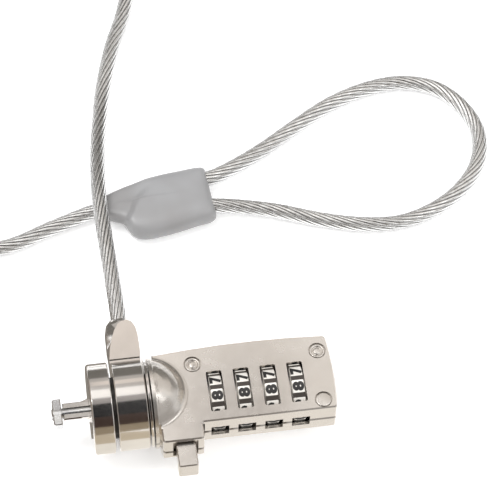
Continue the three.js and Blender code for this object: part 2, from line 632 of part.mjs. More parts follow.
// Strap round one side of the coil.
function coilTie() {
  const half = COIL.half + GAP;
  const x = COIL.x - COIL.midR;
  const low = TABLE_Z + COIL.bottom - GAP;
  const high = TABLE_Z + COIL.bottom + COIL.tall + GAP;
  const { skin } = TIE;
  const y = [COIL.y - TIE.half, COIL.y + TIE.half];
  const outer = box([x - half - skin, x + half + skin], y, [low - skin, high + skin]);
  return cut(outer, box([x - half, x + half], [y[0] - 1, y[1] + 1], [low, high]));
}

// Moulded ferrule: low narrow neck round one strand, wide flat body round the two sides of the loop.
function ferrule() {
  const s = new THREE.Shape();
  s.moveTo(13.6, 60.2);
  s.quadraticCurveTo(13.6, 62.3, 15.4, 63.3);
  s.quadraticCurveTo(20, 65.0, 27, 65.7);
  s.lineTo(33.4, 66.4);
  s.quadraticCurveTo(35.6, 66.5, 35.7, 64.4);
  s.lineTo(36.5, 54.0);
  s.quadraticCurveTo(36.6, 51.8, 34.2, 51.2);
  s.lineTo(28, 49.7);
  s.lineTo(20, 48.4);
  s.quadraticCurveTo(16.6, 48.0, 15.6, 51.0);
  s.quadraticCurveTo(14.6, 53.2, 13.6, 55.0);
  s.closePath();
  const neckPlan = polygon([
    [9.5, 55.6], [10.6, 54.9], [15.6, 53.6], [15.6, 63.2], [12.4, 62.0], [9.5, 60.8],
  ]);
  const { tall, neckTall, low } = FERRULE;
  const body = solid(extruded(s, TABLE_Z + low, TABLE_Z + tall, 1.2, 3));
  return join(body, solid(extruded(neckPlan, TABLE_Z + low, TABLE_Z + neckTall, 0.9, 2)));
}

// ---- the assembly -----------------------------------------------------------------------------------
node("housing_top", housingTop(), satinNickel());
node("housing_bottom", housingBottom(), satinNickel());
RIVETS.forEach((at, i) => node(`rivet_${i + 1}`, rivet(at), satinNickel()));
node("front_ring", frontRing(), polishedNickel());
node("cable_ring", cableRing(), polishedNickel());
node("spacer_ring", spacerRing(), polishedNickel());
node("swivel_sleeve", swivelSleeve(), zinc());
node("cable_stop", cableStop(), brass());
node("anti_rotation_prongs", prongs(), polishedNickel());
node("tbar_spindle", tbarSpindle(), steel());
node("release_button", releaseButton(), satinNickel());
node("button_spring", buttonSpring(), steel());
node("lock_slide", lockSlide(), steel());
for (let i = 0; i < WHEEL.count; i++) {
  node(`number_wheel_${i + 1}`, numberWheel(i), wheelPlate());
  node(`code_sleeve_${i + 1}`, codeSleeve(i), brass());
}
node("dial_shaft", dialShaft(), steel());
node("shaft_spring", shaftSpring(), steel());
node("click_spring", clickSpring(), steel());
node("cable_lead", cable(LEAD), ropeGrey());
node("cable_tail", cable(TAIL), ropeGrey());
node("cable_loop", cable(LOOP), ropeGrey());
node("cable_coil", cableCoil(), ropeGrey());
node("coil_tie", coilTie(), tieBlack());
node("ferrule", ferrule(), ferruleGrey());

export default group;
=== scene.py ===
"""Laptop combination cable lock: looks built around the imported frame. Metres, in the frame's own axes."""
import json
import math

import bmesh
import bpy
import numpy as np
from mathutils import Matrix, Vector


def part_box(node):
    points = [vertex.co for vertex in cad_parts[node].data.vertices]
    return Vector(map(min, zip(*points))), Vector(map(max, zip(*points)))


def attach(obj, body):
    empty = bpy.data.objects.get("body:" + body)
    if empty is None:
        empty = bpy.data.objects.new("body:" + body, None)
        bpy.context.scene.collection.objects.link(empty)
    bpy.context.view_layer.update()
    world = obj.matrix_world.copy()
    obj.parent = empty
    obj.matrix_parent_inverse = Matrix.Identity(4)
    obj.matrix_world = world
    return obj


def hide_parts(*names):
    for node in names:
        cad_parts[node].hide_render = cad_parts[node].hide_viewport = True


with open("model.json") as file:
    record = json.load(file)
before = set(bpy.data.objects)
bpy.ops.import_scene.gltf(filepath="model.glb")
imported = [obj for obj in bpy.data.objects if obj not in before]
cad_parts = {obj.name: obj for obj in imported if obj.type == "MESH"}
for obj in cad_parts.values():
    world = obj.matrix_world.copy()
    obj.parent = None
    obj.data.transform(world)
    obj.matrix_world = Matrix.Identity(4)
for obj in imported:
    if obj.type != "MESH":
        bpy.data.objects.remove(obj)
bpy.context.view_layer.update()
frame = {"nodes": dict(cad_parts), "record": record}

MM = 0.001

# ---- places taken from the frame ----------------------------------------------------------------------
ring_low, ring_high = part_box("front_ring")
FRONT_X = ring_low.x  # end face of the front ring, x = 0 of the lock
AXIS_Y = (ring_low.y + ring_high.y) / 2
AXIS_Z = (ring_low.z + ring_high.z) / 2  # height of the axis the T-bar turns about


def at(x, y, z=0.0):
    """A place in the lock's own millimetres: x from the front ring's end, y and z from the lock's axis."""
    return Vector((FRONT_X + x * MM, AXIS_Y + y * MM, AXIS_Z + z * MM))


def on_table(x, y, height):
    """The same, with the height above the table."""
    return Vector((FRONT_X + x * MM, AXIS_Y + y * MM, height * MM))


# ---- camera -------------------------------------------------------------------------------------------
# Target and distance in the lock's millimetres, angles in degrees, lens in millimetres.
CAMERA = {
    "target": (41.6, 40.57), "distance": 686.4, "lens": 212.7,
    "azimuth": -10.2, "elevation": 58.9, "roll": 2.57,
}


def make_camera():
    """A long lens aimed at the target from the given angles, rolled a little about its own axis."""
    azimuth = math.radians(CAMERA["azimuth"])
    elevation = math.radians(CAMERA["elevation"])
    level_out = Vector((math.sin(azimuth), -math.cos(azimuth), 0))
    back = level_out * math.cos(elevation) + Vector((0, 0, math.sin(elevation)))
    level = Vector((0, 0, 1)).cross(back).normalized()
    up = back.cross(level)
    roll = math.radians(CAMERA["roll"])
    right = math.cos(roll) * level + math.sin(roll) * up
    up = back.cross(right)
    data = bpy.data.cameras.new("camera")
    data.lens = CAMERA["lens"]
    data.clip_start = 0.01
    data.clip_end = 20
    camera = bpy.data.objects.new("camera", data)
    place = at(*CAMERA["target"]) + back * CAMERA["distance"] * MM
    camera.matrix_world = Matrix.Translation(place) @ Matrix((right, up, back)).transposed().to_4x4()
    bpy.context.scene.collection.objects.link(camera)
    bpy.context.scene.camera = camera


make_camera()

# ---- small helpers ------------------------------------------------------------------------------------


def new_object(name, vertices, faces, smooth=True):
    mesh = bpy.data.meshes.new(name)
    mesh.from_pydata([tuple(v) for v in vertices], [], faces)
    mesh.update()
    obj = bpy.data.objects.new(name, mesh)
    bpy.context.scene.collection.objects.link(obj)
    mesh.polygons.foreach_set("use_smooth", [smooth] * len(mesh.polygons))
    return obj


def dress(obj, material, body=None):
    obj.data.materials.clear()
    obj.data.materials.append(material)
    if body:
        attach(obj, body)
    return obj


SPLINE_STEPS = 24  # fine points between two given ones, before they are spaced evenly


def spline(points, spacing):
    """Points a given distance apart on a smooth curve through the given ones."""
    p = np.array([tuple(v) for v in points], float)
    p = np.vstack([2 * p[0] - p[1], p, 2 * p[-1] - p[-2]])
    knots = np.concatenate([[0], np.cumsum(np.sqrt(np.linalg.norm(np.diff(p, axis=0), axis=1)))])
    dense = []
    for i in range(1, len(p) - 2):
        t0, t1, t2, t3 = knots[i - 1:i + 3]
        for t in np.linspace(t1, t2, SPLINE_STEPS, endpoint=False):
            a1 = (t1 - t) / (t1 - t0) * p[i - 1] + (t - t0) / (t1 - t0) * p[i]
            a2 = (t2 - t) / (t2 - t1) * p[i] + (t - t1) / (t2 - t1) * p[i + 1]
            a3 = (t3 - t) / (t3 - t2) * p[i + 1] + (t - t2) / (t3 - t2) * p[i + 2]
            b1 = (t2 - t) / (t2 - t0) * a1 + (t - t0) / (t2 - t0) * a2
            b2 = (t3 - t) / (t3 - t1) * a2 + (t - t1) / (t3 - t1) * a3
            dense.append((t2 - t) / (t2 - t1) * b1 + (t - t1) / (t2 - t1) * b2)
    dense.append(p[-2])
    return even(np.array(dense), spacing)


def even(line, spacing):
    """The same line with its points evenly spaced."""
    along = np.concatenate([[0], np.cumsum(np.linalg.norm(np.diff(line, axis=0), axis=1))])
    count = max(2, int(round(along[-1] / spacing)) + 1)
    marks = np.linspace(0, along[-1], count)
    return np.stack([np.interp(marks, along, line[:, k]) for k in range(3)], axis=1)


def length_of(line):
    return float(np.linalg.norm(np.diff(line, axis=0), axis=1).sum())


# ---- cable route, the same points as the CAD model: x, y and height above the table, mm ----------------
CABLE_D = 3.7
LEAD = [
    (9.35, 18.0, 10.58), (9.35, 23.2, 10.58), (9.3, 29, 10.45), (9.1, 36, 10.1), (8.9, 44, 9.5),
    (8.8, 51, 8.8), (8.8, 58, 8.0), (9.3, 66, 6.7), (10.4, 76, 4.5), (11.7, 84, 2.9), (13.2, 92, 2.0),
    (16.9, 105, 1.85),
    (21.6, 117, 1.85), (23.6, 128, 1.85), (19.5, 139, 1.85), (9, 147, 1.85), (-6, 148, 1.9),
    (-20, 144.0, 2.2), (-33.5, 138.8, 2.6), (-46.5, 134.2, 3.0),
]
TAIL = [
    (-67.0, 78.4, 11.6), (-59.8, 66.8, 7.8), (-50.2, 57.6, 4.2), (-38.5, 52.4, 2.2), (-26, 50.9, 1.85),
    (-14, 51.2, 1.85), (-4, 54.7, 1.85), (2, 56.7, 1.9), (5.5, 57.7, 2.1), (8.6, 58.3, 2.5),
]
INSIDE_FERRULE = [(18, 60.0, 3.2), (28, 61.9, 3.2)]
LOOP = [
    (36.7, 63.7, 3.2), (42, 66.1, 2.6), (50, 70.7, 1.9), (60, 77, 1.85), (69, 82.2, 1.85), (79, 85.6, 1.85),
    (88, 86.2, 1.85), (96, 83.4, 1.85), (101.5, 77, 1.85), (103.9, 69, 1.85), (102, 60.5, 1.85),
    (97, 54, 1.85), (89.5, 48.9, 1.85), (80.7, 46.2, 1.85), (72, 46.6, 1.85), (62, 49.1, 1.9),
    (51, 52.8, 2.4), (44, 54.4, 2.8), (37.5, 55.4, 3.2), (30, 56.0, 3.2), (23, 55.6, 3.2),
]
# Centre, middle radius and lowest height in mm; the angle in degrees where the first turn starts.
COIL = {"x": -51, "y": 104, "mid_r": 22.2, "turns": 9 + 100 / 360, "layers": 4, "start": 110, "low": 3.05}
COIL_POINTS_PER_TURN = 36


def coil_points():
    """Spiral in and out again on four layers, the turns a cable's width apart, with both ends outside."""
    per_layer = COIL["turns"] / COIL["layers"]
    outer = COIL["mid_r"] + per_layer * CABLE_D / 2
    steps = int(COIL["turns"] * COIL_POINTS_PER_TURN)
    points = []
    for i in range(steps + 1):
        turn = COIL["turns"] * i / steps
        inward = abs((turn + per_layer) % (2 * per_layer) - per_layer)
        r = outer - CABLE_D * inward
        past = [turn - k * per_layer for k in range(1, COIL["layers"])]
        climbs = [min(1.0, max(0.0, 2 * gone + 0.5)) for gone in past]
        height = COIL["low"] + CABLE_D * sum(c * c * (3 - 2 * c) for c in climbs)
        angle = math.radians(COIL["start"] + 360 * turn)
        points.append((COIL["x"] + r * math.cos(angle), COIL["y"] + r * math.sin(angle), height))
    return points


def cable_line(spacing):
    route = LEAD + coil_points() + TAIL + INSIDE_FERRULE + LOOP
    return spline([on_table(*p) for p in route], spacing * MM)


# ---- stranded rope ------------------------------------------------------------------------------------
STRANDS = 12
WIRES_SHOWN = 3  # wires of each strand that show on the outside
POINTS_PER_WIRE = 3
STRAND_GROOVE = 0.24  # depth of the gaps between strands and between wires, mm
WIRE_GROOVE = 0.07
ROPE_LAY = 38.0  # length in which a strand goes once round, mm
ROPE_STEP = 1.1  # distance between the rope's rings of points, mm
WIRE_TONE_STEP = 0.37  # how far the tone moves from one wire to the next
WIRE_SHADES = 0.5  # tone at which the shade turns back


def rope_section():
    """Radius round the rope, and painted shade darkening its grooves: strands side by side, each with its own
    few wires.
    """
    count = STRANDS * WIRES_SHOWN * POINTS_PER_WIRE
    radius, painted_groove_shade = [], []
    for i in range(count):
        strand = (i + 0.5) / (WIRES_SHOWN * POINTS_PER_WIRE) % 1 * 2 - 1
        wire = (i + 0.5) / POINTS_PER_WIRE % 1 * 2 - 1
        strand_dip = strand ** 4
        wire_dip = wire * wire
        radius.append(CABLE_D / 2 - STRAND_GROOVE * strand_dip - WIRE_GROOVE * wire_dip)
        # painted shade: strong in the gaps between strands, mild between wires
        painted_groove_shade.append(min(1.0, 1.1 * strand_dip + 0.3 * wire_dip))
    return np.array(radius) * MM, np.array(painted_groove_shade)


def frames_along(line):
    """Unit sideways directions that don't spin about the line."""
    tangent = np.gradient(line, axis=0)
    tangent /= np.linalg.norm(tangent, axis=1)[:, None]
    side = np.cross(tangent[0], (0, 0, 1))
    sides = []
    for t in tangent:
        side = side - t * side.dot(t)
        side /= np.linalg.norm(side)
        sides.append(side)
    sides = np.array(sides)
    return sides, np.cross(tangent, sides)


def make_rope(name, line):
    """Closed stranded skin along a line, with the painted shade of its grooves and the wire tone stored on
    its points.
    """
    radius, painted_groove_shade = rope_section()
    count = len(radius)
    side, up = frames_along(line)
    along = np.concatenate([[0], np.cumsum(np.linalg.norm(np.diff(line, axis=0), axis=1))])
    twist = 2 * math.pi * along / (ROPE_LAY * MM)
    around = 2 * math.pi * np.arange(count) / count
    angle = twist[:, None] + around[None, :]
    rim = (line[:, None, :] + radius[None, :, None] * (np.cos(angle)[..., None] * side[:, None, :]
                                                      + np.sin(angle)[..., None] * up[:, None, :]))
    vertices = rim.reshape(-1, 3)
    rings = len(line)
    faces = []
    for i in range(rings - 1):
        for k in range(count):
            n = (k + 1) % count
            faces.append((i * count + k, i * count + n, (i + 1) * count + n, (i + 1) * count + k))
    faces.append(tuple(range(count - 1, -1, -1)))
    faces.append(tuple((rings - 1) * count + k for k in range(count)))
    rope = new_object(name, vertices, faces)
    shade = rope.data.attributes.new("painted_groove_shade", "FLOAT", "POINT")
    shade.data.foreach_set("value", np.tile(painted_groove_shade, rings).astype(np.float32))
    wire = rope.data.attributes.new("wire", "FLOAT", "POINT")
    tone = (np.arange(count) // POINTS_PER_WIRE) * WIRE_TONE_STEP
    wire.data.foreach_set("value", np.tile(tone, rings).astype(np.float32))
    return rope


# ---- materials ----------------------------------------------------------------------------------------


class Shader:
    """A Principled material with small helpers for the nodes that feed it."""

    def __init__(self, name, color, roughness, metallic=0.0, **more):
        self.material = bpy.data.materials.new(name)
        self.material.use_nodes = True
        self.tree = self.material.node_tree
        self.bsdf = self.tree.nodes["Principled BSDF"]
        self.bsdf.inputs["Base Color"].default_value = (*color, 1)
        self.bsdf.inputs["Roughness"].default_value = roughness
        self.bsdf.inputs["Metallic"].default_value = metallic
        for key, value in more.items():
            self.bsdf.inputs[key.replace("_", " ").title().replace("Ior", "IOR")].default_value = value

    def node(self, kind, **values):
        made = self.tree.nodes.new(kind)
        for key, value in values.items():
            if key in made.inputs:
                made.inputs[key].default_value = value
            else:
                setattr(made, key, value)
        return made

    def link(self, out, into):
        self.tree.links.new(out, into)
        return self

    def place(self, stretch=(1, 1, 1)):
        coordinates = self.node("ShaderNodeTexCoord")
        mapping = self.node("ShaderNodeMapping", Scale=stretch)
        self.link(coordinates.outputs["Object"], mapping.inputs["Vector"])
        return mapping.outputs["Vector"]

    def noise(self, size_mm, detail=3.0, stretch=(1, 1, 1), roughness=0.5):
        made = self.node("ShaderNodeTexNoise", Scale=1 / (size_mm * MM), Detail=detail, Roughness=roughness)
        self.link(self.place(stretch), made.inputs["Vector"])
        return made.outputs["Fac"]

    def spread(self, value, low, high):
        made = self.node("ShaderNodeMapRange")
        self.link(value, made.inputs["Value"])
        made.inputs["From Min"].default_value = 0.25
        made.inputs["From Max"].default_value = 0.75
        made.inputs["To Min"].default_value = low
        made.inputs["To Max"].default_value = high
        return made.outputs["Result"]

    def blend_colors(self, value, first, second, low=0.35, high=0.65):
        ramp = self.node("ShaderNodeValToRGB")
        ramp.color_ramp.elements[0].position = low
        ramp.color_ramp.elements[0].color = (*first, 1)
        ramp.color_ramp.elements[1].position = high
        ramp.color_ramp.elements[1].color = (*second, 1)
        self.link(value, ramp.inputs["Fac"])
        return ramp.outputs["Color"]

    def bump(self, value, height_mm, into=None):
        made = self.node("ShaderNodeBump", Distance=height_mm * MM, Strength=1.0)
        self.link(value, made.inputs["Height"])
        if into is not None:
            self.link(into, made.inputs["Normal"])
        return made.outputs["Normal"]

    def set(self, name, value):
        return self.link(value, self.bsdf.inputs[name])


def satin_nickel():
    """Plated casting: an even satin with faint cloudy patches in its colour and gloss."""
    s = Shader("satin_nickel", (0.74, 0.70, 0.655), 0.27, metallic=1.0)
    s.set("Base Color", s.blend_colors(s.noise(14.0, 2), (0.725, 0.685, 0.64), (0.765, 0.73, 0.69)))
    s.set("Roughness", s.spread(s.noise(2.5, 4), 0.235, 0.285))
    s.set("Normal", s.bump(s.noise(0.8, 2), 0.0015))
    return s.material


def polished_nickel():
    """Bright plate with hairline turning marks round the rings."""
    s = Shader("polished_nickel", (0.80, 0.78, 0.75), 0.1, metallic=1.0)
    s.set("Base Color", s.blend_colors(s.noise(9.0, 2), (0.78, 0.75, 0.72), (0.86, 0.83, 0.80)))
    s.set("Roughness", s.spread(s.noise(0.8, 4, stretch=(6, 1, 1)), 0.09, 0.17))
    s.set("Normal", s.bump(s.noise(0.25, 3, stretch=(8, 1, 1)), 0.0015))
    return s.material


def ground_steel():
    """Grey steel with fine grinding marks."""
    s = Shader("ground_steel", (0.62, 0.62, 0.62), 0.22, metallic=1.0)
    s.set("Roughness", s.spread(s.noise(0.5, 4, stretch=(1, 6, 1)), 0.16, 0.3))
    s.set("Base Color", s.blend_colors(s.noise(3.0, 3), (0.57, 0.57, 0.58), (0.68, 0.68, 0.67)))
    s.set("Normal", s.bump(s.noise(0.2, 3, stretch=(1, 8, 1)), 0.002))
    return s.material


def wheel_plate():
    """Pale plated rims, lightly scuffed."""
    s = Shader("wheel_plate", (0.80, 0.77, 0.72), 0.34, metallic=0.35)
    s.set("Roughness", s.spread(s.noise(0.7, 4), 0.28, 0.44))
    s.set("Base Color", s.blend_colors(s.noise(2.0, 3), (0.74, 0.71, 0.66), (0.86, 0.83, 0.78)))
    s.set("Normal", s.bump(s.noise(0.15, 2), 0.003))
    return s.material


def black_fill(name, color):
    """Dark half-matt paint: the figures' print, and the painted shade in the wheels' gaps."""
    s = Shader(name, color, 0.45)
    s.set("Roughness", s.spread(s.noise(0.4, 3), 0.36, 0.56))
    s.set("Normal", s.bump(s.noise(0.2, 2), 0.004))
    return s.material


def turned_brass():
    """Plain brass, slightly dulled."""
    s = Shader("turned_brass", (0.62, 0.45, 0.20), 0.3, metallic=1.0)
    s.set("Roughness", s.spread(s.noise(0.6, 3), 0.24, 0.4))
    s.set("Base Color", s.blend_colors(s.noise(2.0, 3), (0.56, 0.40, 0.17), (0.68, 0.51, 0.25)))
    return s.material


def bare_zinc():
    """Dull dark casting, greased."""
    s = Shader("bare_zinc", (0.10, 0.095, 0.09), 0.55, metallic=0.8)
    s.set("Base Color", s.blend_colors(s.noise(1.5, 3), (0.07, 0.065, 0.06), (0.13, 0.125, 0.12)))
    s.set("Roughness", s.spread(s.noise(0.8, 4), 0.45, 0.65))
    s.set("Normal", s.bump(s.noise(0.3, 3), 0.01))
    return s.material


def wire_rope():
    """Bright galvanised wires of differing tones, with painted shade darkening the gaps between strands and,
    less, between wires.
    """
    s = Shader("wire_rope", (0.8, 0.8, 0.78), 0.28, metallic=1.0)
    s.bsdf.inputs["Specular Tint"].default_value = (0.75, 0.75, 0.76, 1)
    wire = s.node("ShaderNodeAttribute", attribute_name="wire")
    shade = s.node("ShaderNodeMath", operation="PINGPONG")
    s.link(wire.outputs["Fac"], shade.inputs[0])
    shade.inputs[1].default_value = WIRE_SHADES
    lit = s.blend_colors(shade.outputs[0], (0.60, 0.60, 0.60), (0.95, 0.95, 0.94), 0.0, WIRE_SHADES)
    painted_groove_shade = s.node("ShaderNodeAttribute", attribute_name="painted_groove_shade")
    groove_shade_amount = s.node("ShaderNodeMapRange")
    s.link(painted_groove_shade.outputs["Fac"], groove_shade_amount.inputs["Value"])
    groove_shade_amount.inputs["From Min"].default_value = 0.2
    groove_shade_amount.inputs["From Max"].default_value = 0.95
    color = s.node("ShaderNodeMix", data_type="RGBA")
    s.link(groove_shade_amount.outputs["Result"], color.inputs["Factor"])
    s.link(lit, color.inputs["A"])
    # painted shade: the near-black colour that fills the grooves
    color.inputs["B"].default_value = (0.045, 0.045, 0.043, 1)
    s.set("Base Color", color.outputs["Result"])
    s.set("Roughness", s.spread(s.noise(1.2, 3), 0.2, 0.36))
    s.set("Normal", s.bump(s.noise(0.3, 2), 0.012))
    return s.material


def ferrule_plastic():
    """Milky grey moulding."""
    s = Shader("ferrule_plastic", (0.26, 0.26, 0.27), 0.36, subsurface_weight=0.06)
    s.bsdf.inputs["Subsurface Radius"].default_value = (0.002, 0.0018, 0.0018)
    s.bsdf.inputs["Subsurface Scale"].default_value = 1.0
    s.set("Base Color", s.blend_colors(s.noise(12.0, 2), (0.25, 0.245, 0.245), (0.285, 0.285, 0.29)))
    s.set("Roughness", s.spread(s.noise(1.5, 4), 0.3, 0.44))
    s.set("Normal", s.bump(s.noise(0.25, 3), 0.003))
    return s.material


def tie_rubber():
    """Matt black rubber, finely ribbed along its length."""
    s = Shader("tie_rubber", (0.012, 0.012, 0.013), 0.6)
    s.set("Roughness", s.spread(s.noise(0.8, 3), 0.5, 0.7))
    s.set("Normal", s.bump(s.noise(0.5, 3, stretch=(1, 5, 1)), 0.02))
    return s.material


MATERIALS = {
    "satin_nickel": satin_nickel(), "polished_nickel": polished_nickel(), "hardened_steel": ground_steel(),
    "spring_steel": ground_steel(), "brass": turned_brass(), "zinc_alloy": bare_zinc(),
    "wheel_plating": wheel_plate(), "wire_rope": wire_rope(), "ferrule_plastic": ferrule_plastic(),
    "tie_rubber": tie_rubber(),
}

# ---- cable --------------------------------------------------------------------------------------------


def make_cable(on_cable):
    """The whole rope from the tab to the end loop; the pieces that it carries, passed in, are not used here.
    """
    line = cable_line(ROPE_STEP)
    rope = make_rope("wire_rope_cable", line)
    dress(rope, MATERIALS["wire_rope"], "cable")
    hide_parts("cable_lead", "cable_coil", "cable_tail", "cable_loop")
    print("cable length", round(length_of(line), 4))


# ---- ferrule ------------------------------------------------------------------------------------------
# Plan of the moulding, x and y in mm, anticlockwise from the neck's lower corner.
FERRULE_PLAN = [
    (9.6, 56.2), (10.2, 55.3), (12.0, 54.4), (14.2, 53.4), (15.3, 51.4), (16.6, 49.4), (19.2, 48.6),
    (23.5, 49.0), (28, 49.9), (32, 50.9), (35.2, 51.5), (36.4, 52.3), (36.3, 55.5), (35.95, 59.5),
    (35.65, 63.5), (35.3, 65.9), (34.0, 66.3), (29.5, 65.9), (24, 65.2), (19, 64.2), (15, 63.0), (12.4, 61.9),
    (10.4, 61.0), (9.6, 60.2),
]
FERRULE_SPINE = ((12.2, 58.2), (29.5, 58.4))
FERRULE_MIDDLE = 3.3  # height of its widest level above the table
FERRULE_HALF = {"neck": 2.1, "body": 3.2}
FERRULE_RINGS = 14  # rings of points from its rim to the middle of a face
FERRULE_ROUND = 6  # the higher, the flatter the faces and the tighter their rims
FERRULE_REACH = 0.97  # how near the last ring comes to the spine


def ease(value, low, high):
    """0 below the low value, 1 above the high one, and a smooth step between."""
    t = min(1.0, max(0.0, (value - low) / (high - low)))
    return t * t * (3 - 2 * t)


def ferrule_half(x, y):
    """Half thickness at a place: a round shoulder rises from the neck to the body."""
    shoulder = math.hypot(x - 11.0, (y - 58.2) * 0.9)
    rise = ease(shoulder, 5.2 + 2.2 * ease(y, 56, 62), 7.0 + 5.0 * ease(y, 56, 62))
    return FERRULE_HALF["neck"] + (FERRULE_HALF["body"] - FERRULE_HALF["neck"]) * rise


def ferrule_row(plan, inward, side):
    """The plan drawn in towards the spine, at its height over or under the widest level."""
    start, end = (Vector((x, y, 0)) for x, y in FERRULE_SPINE)
    run = end - start
    swell = side * (1 - (1 - inward) ** FERRULE_ROUND) ** 0.5
    row = []
    for point in plan:
        rim = Vector(point)
        t = min(1.0, max(0.0, (rim - start).dot(run) / run.length_squared))
        place = rim.lerp(start + run * t, inward)
        row.append(on_table(place.x, place.y, FERRULE_MIDDLE + swell * ferrule_half(place.x, place.y)))
    return row


def skin(rows, closed_ends=True):
    """Vertices and faces of a skin through rows of equal length, each row a closed ring."""
    count = len(rows[0])
    faces = []
    for i in range(len(rows) - 1):
        for k in range(count):
            n = (k + 1) % count
            faces.append((i * count + k, i * count + n, (i + 1) * count + n, (i + 1) * count + k))
    if closed_ends:
        faces.append(tuple(range(count - 1, -1, -1)))
        faces.append(tuple((len(rows) - 1) * count + k for k in range(count)))
    return [v for row in rows for v in row], faces


def make_ferrule():
    """Moulding round the two sides of the loop, built as rings drawn in from its rim."""
    corners = [Vector((x, y, 0)) for x, y in FERRULE_PLAN]
    plan = spline(corners + [corners[0]], 0.5)[:-1]
    steps = [FERRULE_REACH * (k / FERRULE_RINGS) ** 1.6 for k in range(FERRULE_RINGS + 1)]
    rows = [ferrule_row(plan, inward, -1) for inward in reversed(steps[1:])]
    rows += [ferrule_row(plan, inward, 1) for inward in steps]
    ferrule = new_object("moulded_ferrule", *skin(rows))
    dress(ferrule, MATERIALS["ferrule_plastic"], "cable")
    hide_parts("ferrule")
    return ferrule


# ---- coil tie -----------------------------------------------------------------------------------------
STRAP = {"wide": 4.6, "thick": 0.7, "corner": 2.2, "tail": 0.62}  # mm; the tail in quarter turns
STRAP_STEPS = 64  # points in one turn
STRAP_SQUARE = 1.35  # how straight its sides run between the corners


def rounded_square(value):
    """A cosine or sine stretched so that it stays flat at its ends."""
    return math.copysign(min(1, abs(STRAP_SQUARE * value)), value)


def make_strap():
    """Flat strap round one side of the coil, its free end lapped over itself on top."""
    low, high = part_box("coil_tie")
    centre = (low + high) / 2
    half_x = (high.x - low.x) / 2 - STRAP["thick"] * MM
    half_z = (high.z - low.z) / 2 - STRAP["thick"] * MM
    corner = STRAP["corner"] * MM
    path = []
    turns = 1 + STRAP["tail"] / 4
    for i in range(int(STRAP_STEPS * turns) + 1):
        a = 2 * math.pi * i / STRAP_STEPS
        rise = 0.75 * STRAP["thick"] * MM * ease(i / STRAP_STEPS, 0.92, 1.02)
        x = rounded_square(math.cos(a)) * (half_x - corner) + corner * math.cos(a)
        z = rounded_square(math.sin(a)) * (half_z - corner) + corner * math.sin(a)
        out = Vector((math.cos(a), 0, math.sin(a)))
        path.append((centre + Vector((x, 0, z)) + out * rise, out))
    half = STRAP["wide"] / 2 * MM
    flat = half * 0.9
    section = [(-half, 0.1), (-flat, 0), (flat, 0), (half, 0.1), (half, 0.5), (flat, 0.6),
               (0, 0.66), (-flat, 0.6), (-half, 0.5)]
    thick = STRAP["thick"] * MM
    rows = [[place + Vector((0, y, 0)) + out * t * thick for y, t in section] for place, out in path]
    strap = new_object("coil_strap", *skin(rows))
    dress(strap, MATERIALS["tie_rubber"], "cable")
    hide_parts("coil_tie")
    return strap


# ---- rivets -------------------------------------------------------------------------------------------
# Half section of a rivet: radius and height, mm, from the head's rim; the last point closes the shank.
RIVET_HEAD = [
    (0.0, 0.02), (0.35, 0.01), (0.7, -0.04), (0.88, -0.12), (0.95, -0.3), (1.05, -0.34), (1.16, -0.3),
    (1.24, -0.1), (1.36, -0.01), (1.6, 0.0), (1.74, -0.05), (1.8, -0.16), (1.8, -0.55), (1.2, -0.57),
]
# The third rivet has a plain flat head.
FLAT_RIVET = 3
RIVET_FLAT = [(0.0, 0.0), (1.5, 0.0), (1.7, -0.05), (1.8, -0.16), (1.8, -0.55), (1.2, -0.57)]
RIVET_SIDES = 56
SHANK_R = 1.2
POINT_R = 0.02  # stands for zero at the head's middle


def make_rivet(index):
    """Head and shank turned from their half section."""
    low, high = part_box(f"rivet_{index}")
    centre = (low + high) / 2
    head = RIVET_FLAT if index == FLAT_RIVET else RIVET_HEAD
    profile = [(r * MM, high.z + h * MM) for r, h in head] + [(SHANK_R * MM, low.z)]
    rows = []
    for r, z in profile:
        angles = [2 * math.pi * k / RIVET_SIDES for k in range(RIVET_SIDES)]
        r = max(r, POINT_R * MM)
        rows.append([Vector((centre.x + r * math.cos(a), centre.y + r * math.sin(a), z)) for a in angles])
    rivet = new_object(f"rivet_body_{index}", *skin(rows))
    dress(rivet, MATERIALS["satin_nickel"], "lock")
    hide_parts(f"rivet_{index}")


# ---- numbers on the wheels, and painted shade in their gaps ---------------------------------------------
WHEEL_R = 6.65
DIGITS = 10
DIGIT_STEP = 360 / DIGITS
EIGHT_ANGLE = 15.5  # where the 8 stands, from straight up towards the front, degrees
DIGIT_HEIGHT = 2.7
DIGIT_WIDTH = 2.25
DIGIT_WEIGHT = 0.06
DIGIT_STRIPS = 12
DIGIT_PROUD = 0.03
DIGIT_SUNK = 0.05
GAP = {"half_width": 0.57, "half_long": 1.4, "floor": 6.15, "top": 6.55}  # painted shade filling a gap between digits, mm


def glyph(text):
    """Closed thin solid of one figure, centred, 1 high and 1 wide, cut in strips so that it can bend."""
    curve = bpy.data.curves.new("glyph", "FONT")
    curve.body = text
    curve.size = 1.0
    curve.offset = DIGIT_WEIGHT
    curve.extrude = 0.5
    curve.resolution_u = 3
    obj = bpy.data.objects.new("glyph", curve)
    bpy.context.scene.collection.objects.link(obj)
    graph = bpy.context.evaluated_depsgraph_get()
    mesh = bpy.data.meshes.new_from_object(obj.evaluated_get(graph))
    bpy.data.objects.remove(obj)
    work = bmesh.new()
    work.from_mesh(mesh)
    bmesh.ops.remove_doubles(work, verts=work.verts, dist=1e-5)
    bounds = np.array([v.co[:] for v in work.verts])
    low, high = bounds.min(0), bounds.max(0)
    for k in range(1, DIGIT_STRIPS):
        geometry = work.verts[:] + work.edges[:] + work.faces[:]
        place = (low[0] + (high[0] - low[0]) * k / DIGIT_STRIPS, 0, 0)
        bmesh.ops.bisect_plane(work, geom=geometry, plane_co=place, plane_no=(1, 0, 0), dist=1e-6)
    bmesh.ops.triangulate(work, faces=work.faces)
    points = (np.array([v.co[:] for v in work.verts]) - (low + high) / 2) / (high - low)
    faces = [tuple(v.index for v in f.verts) for f in work.faces]
    work.free()
    return points, faces


